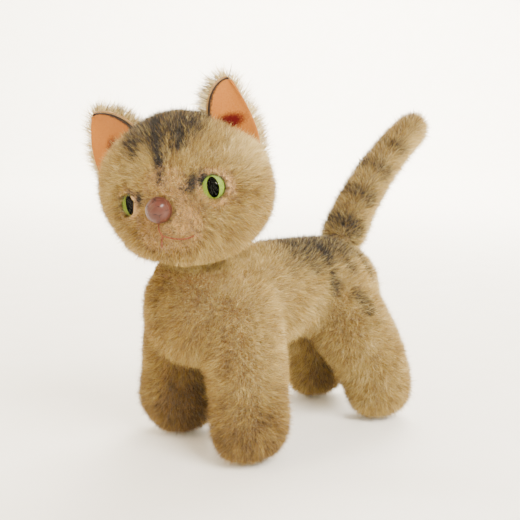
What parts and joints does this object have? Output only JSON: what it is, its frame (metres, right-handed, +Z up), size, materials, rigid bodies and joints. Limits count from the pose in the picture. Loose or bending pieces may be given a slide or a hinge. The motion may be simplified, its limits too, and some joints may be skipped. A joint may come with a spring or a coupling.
{
  "type": "plush cat",
  "caption": "Standing mohair plush kitten with sewn legs, upright tail, glass eyes, felt-lined ears and a head that turns on a disc joint.",
  "frame": {"origin": "centre of the bounding box at the soles of the feet", "axes": "+Z up; the body faces -Y and the tail points to +Y; the kitten's left is +X"},
  "size_m": [0.065, 0.1477, 0.1263],
  "materials": {
    "cream_mohair": "short upright mohair pile on a woven backing",
    "striped_mohair": "mohair pile with airbrushed grey-brown stripes",
    "wood_wool": "packed fibrous stuffing",
    "peach_felt": "wool felt with airbrushed red and dark edge",
    "clear_glass": "polished domed glass",
    "green_enamel": "glossy yellow-green enamel",
    "black_enamel": "glossy black enamel",
    "steel_wire": "drawn wire, dulled",
    "linen_thread": "twisted thread",
    "mouth_floss": "rust stranded floss",
    "mauve_nose": "glossy aged button with fine dark crazing",
    "hardboard": "pressed fibre board"
  },
  "bodies": {
    "body": {"side_panel_left": "cream_mohair", "side_panel_right": "cream_mohair", "underbody_gusset": "cream_mohair", "body_stuffing": "wood_wool", "tail_cover": "striped_mohair", "tail_stuffing": "wood_wool", "chest_seam_thread": "linen_thread", "body_joint_disc": "hardboard", "body_washer": "steel_wire", "cotter_pin": "steel_wire"},
    "head": {"head_side_left": "cream_mohair", "head_side_right": "cream_mohair", "head_gusset": "striped_mohair", "head_stuffing": "wood_wool", "ear_back_left": "cream_mohair", "ear_back_right": "cream_mohair", "ear_lining_left": "peach_felt", "ear_lining_right": "peach_felt", "eye_glass_left": "clear_glass", "eye_glass_right": "clear_glass", "iris_left": "green_enamel", "iris_right": "green_enamel", "pupil_left": "black_enamel", "pupil_right": "black_enamel", "eye_wire_left": "steel_wire", "eye_wire_right": "steel_wire", "eye_tie_left": "linen_thread", "eye_tie_right": "linen_thread", "nose_button": "mauve_nose", "nose_wire": "steel_wire", "mouth_stitches": "mouth_floss", "head_joint_disc": "hardboard", "head_washer": "steel_wire", "neck_drawstring": "linen_thread"}
  },
  "joints": [
    {"name": "head_swivel", "type": "hinge", "parent": "body", "child": "head", "pos_m": [0, -0.0435, 0.0642], "axis": [0, 0, 1], "continuous": true}
  ]
}
